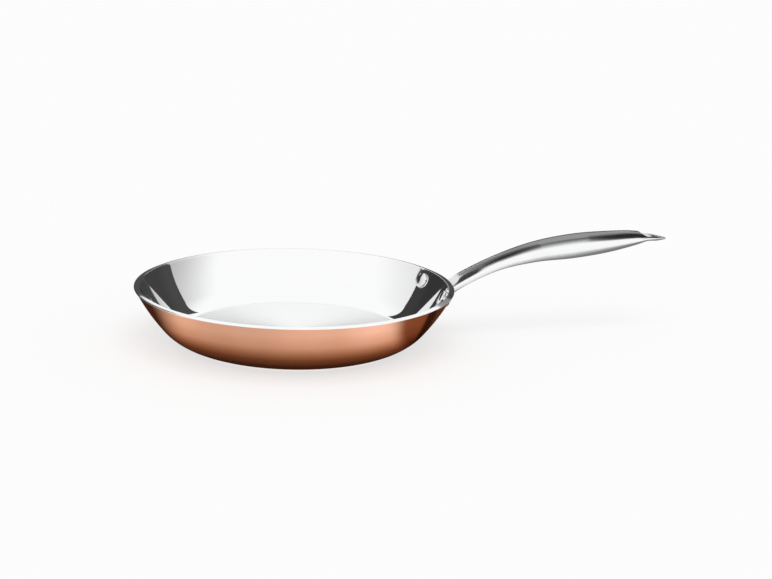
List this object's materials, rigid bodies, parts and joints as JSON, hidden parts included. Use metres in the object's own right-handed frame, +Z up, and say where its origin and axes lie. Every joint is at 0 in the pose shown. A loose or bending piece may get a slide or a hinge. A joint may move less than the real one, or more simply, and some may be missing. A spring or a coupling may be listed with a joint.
{
  "type": "frying pan",
  "caption": "Round copper-clad frying pan with flared wall, mirror-polished steel lining, sloping silver rim and a hollow curved steel handle riveted to the wall.",
  "frame": {"origin": "middle of the flat base, on the surface that the pan stands on", "axes": "+Z up out of the bowl, +X from the bowl's middle along the handle"},
  "size_m": [0.4181, 0.2402, 0.0757],
  "materials": {
    "copper": "polished copper",
    "core": "rolled, sealed inside",
    "lining": "mirror-polished stainless steel",
    "bracket": "polished stainless steel",
    "handle": "satin-polished stainless steel",
    "rivets": "polished stainless steel"
  },
  "bodies": {
    "root": {"copper_shell": "copper", "aluminium_core": "core", "steel_lining": "lining", "handle_bracket": "bracket", "handle_upper_shell": "handle", "handle_lower_shell": "handle", "rivet_left": "rivets", "rivet_right": "rivets"}
  },
  "joints": []
}
